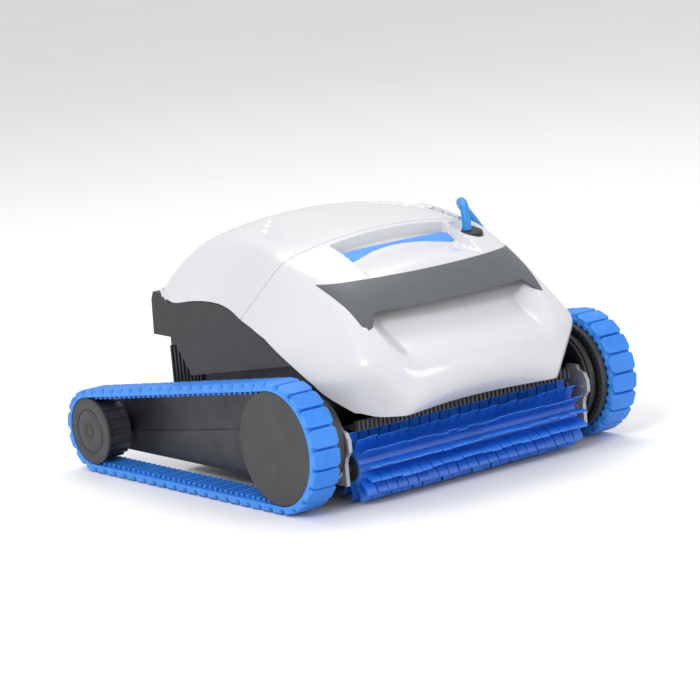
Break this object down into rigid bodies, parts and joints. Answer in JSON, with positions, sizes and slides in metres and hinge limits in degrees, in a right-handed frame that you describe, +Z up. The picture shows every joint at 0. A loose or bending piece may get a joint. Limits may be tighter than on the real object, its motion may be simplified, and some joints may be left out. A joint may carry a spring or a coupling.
{
  "type": "robotic pool cleaner",
  "caption": "Tracked robotic pool cleaner with a rotating comb brush, rear-hinged lid, lift-out filter basket, driven tracks and a floating cable.",
  "frame": {"origin": "on the floor under the middle of the robot's bounding box, cable left out", "axes": "+Z up, the brush and handle face -Y, +X runs across the robot along its axles"},
  "size_m": [0.515, 0.6556, 0.2477],
  "materials": {
    "shell_white": "glossy",
    "body_black": "satin",
    "dark_satin": "satin",
    "band_grey": "satin",
    "latch_blue": "satin",
    "track_blue": "satin",
    "brush_blue": "satin",
    "cable_blue": "satin",
    "seal_black": "matte",
    "bracket_metal": "satin",
    "steel": "brushed",
    "brass_core": "satin",
    "motor_metal": "satin",
    "board_green": "satin",
    "basket_grey": "satin",
    "mesh_white": "matte",
    "gear_white": "satin"
  },
  "bodies": {
    "chassis": {"tub": "body_black", "inlet_plate": "body_black", "inlet_plate_screws": "steel", "front_cover": "shell_white", "handle_band": "band_grey", "rear_body": "body_black", "lid_hinge_pins": "steel", "latch_pin": "steel", "latch_spring": "steel", "brush_guard": "body_black", "motor_housing": "basket_grey", "motor_housing_seal": "seal_black", "motor_housing_cover": "basket_grey", "pump_motor": "motor_metal", "circuit_board": "board_green", "impeller_duct": "basket_grey", "cable_grommet": "seal_black", "cable": "cable_blue", "cable_coil": "cable_blue", "cable_plug": "seal_black", "plug_ring": "body_black", "track_left": "track_blue", "track_right": "track_blue", "front_axle_left": "steel", "front_axle_right": "steel", "idler_axle_left": "steel", "idler_axle_right": "steel", "side_plate_left": "body_black", "side_plate_right": "body_black", "brush_bush_left": "gear_white", "brush_bush_right": "gear_white", "brush_bracket_left": "bracket_metal", "brush_bracket_right": "bracket_metal", "drive_motor_left": "motor_metal", "drive_motor_right": "motor_metal"},
    "lid": {"lid": "shell_white"},
    "latch": {"latch_flap": "latch_blue"},
    "wheel_left": {"front_wheel_left": "dark_satin", "wheel_disc_left": "dark_satin"},
    "wheel_right": {"front_wheel_right": "dark_satin", "wheel_disc_right": "dark_satin"},
    "idler_left": {"rear_idler_left": "dark_satin", "idler_cap_left": "dark_satin"},
    "idler_right": {"rear_idler_right": "dark_satin", "idler_cap_right": "dark_satin"},
    "pinion_left": {"drive_pinion_left": "gear_white"},
    "pinion_right": {"drive_pinion_right": "gear_white"},
    "brush": {"brush_core": "dark_satin", "brush_combs": "brush_blue", "brush_gear": "gear_white"},
    "pump_rotor": {"impeller": "gear_white"},
    "basket": {"basket_frame": "basket_grey", "basket_mesh": "mesh_white", "basket_handle": "latch_blue", "inlet_flap_pins": "steel"},
    "valve_left": {"inlet_flap_left": "seal_black"},
    "valve_right": {"inlet_flap_right": "seal_black"}
  },
  "joints": [
    {"name": "lid_hinge", "type": "hinge", "parent": "chassis", "child": "lid", "pos_m": [0, 0.1346, 0.178], "axis": [-1, 0, 0], "range_deg": [0, 95]},
    {"name": "latch_hinge", "type": "hinge", "parent": "chassis", "child": "latch", "pos_m": [0, -0.09513, 0.207], "axis": [1, 0, 0], "range_deg": [0, 25], "stiffness_Nm_per_rad": 0.05, "springref_deg": -17.19},
    {"name": "wheel_left_spin", "type": "hinge", "parent": "chassis", "child": "wheel_left", "pos_m": [-0.167, -0.1394, 0.0625], "axis": [1, 0, 0], "continuous": true},
    {"name": "wheel_right_spin", "type": "hinge", "parent": "chassis", "child": "wheel_right", "pos_m": [0.167, -0.1394, 0.0625], "axis": [1, 0, 0], "continuous": true},
    {"name": "idler_left_spin", "type": "hinge", "parent": "chassis", "child": "idler_left", "pos_m": [-0.167, 0.1772, 0.0422], "axis": [1, 0, 0], "continuous": true},
    {"name": "idler_right_spin", "type": "hinge", "parent": "chassis", "child": "idler_right", "pos_m": [0.167, 0.1772, 0.0422], "axis": [1, 0, 0], "continuous": true},
    {"name": "pinion_left_spin", "type": "hinge", "parent": "chassis", "child": "pinion_left", "pos_m": [-0.167, -0.1004, 0.0625], "axis": [1, 0, 0], "continuous": true},
    {"name": "pinion_right_spin", "type": "hinge", "parent": "chassis", "child": "pinion_right", "pos_m": [0.167, -0.1004, 0.0625], "axis": [1, 0, 0], "continuous": true},
    {"name": "brush_spin", "type": "hinge", "parent": "chassis", "child": "brush", "pos_m": [0, -0.16655, 0.0345], "axis": [1, 0, 0], "continuous": true},
    {"name": "impeller_spin", "type": "hinge", "parent": "chassis", "child": "pump_rotor", "pos_m": [0, -0.0934, 0.14], "axis": [0, 0, 1], "continuous": true},
    {"name": "basket_lift", "type": "slide", "parent": "chassis", "child": "basket", "axis": [0, 0, 1], "range_m": [0, 0.135]},
    {"name": "valve_left_hinge", "type": "hinge", "parent": "basket", "child": "valve_left", "pos_m": [-0.063, -0.0189, 0.0305], "axis": [1, 0, 0], "range_deg": [0, 60]},
    {"name": "valve_right_hinge", "type": "hinge", "parent": "basket", "child": "valve_right", "pos_m": [0.063, -0.0189, 0.0305], "axis": [1, 0, 0], "range_deg": [0, 60]}
  ],
  "couplings": [
    {"joint": "idler_left_spin", "follows": "wheel_left_spin", "ratio": 1.5936},
    {"joint": "idler_right_spin", "follows": "wheel_right_spin", "ratio": 1.5936},
    {"joint": "pinion_left_spin", "follows": "wheel_left_spin", "ratio": 4.9},
    {"joint": "pinion_right_spin", "follows": "wheel_right_spin", "ratio": 4.9},
    {"joint": "brush_spin", "follows": "wheel_left_spin", "ratio": 4.9},
    {"joint": "basket_lift", "follows": "lid_hinge", "m_per_rad": 0.08}
  ]
}
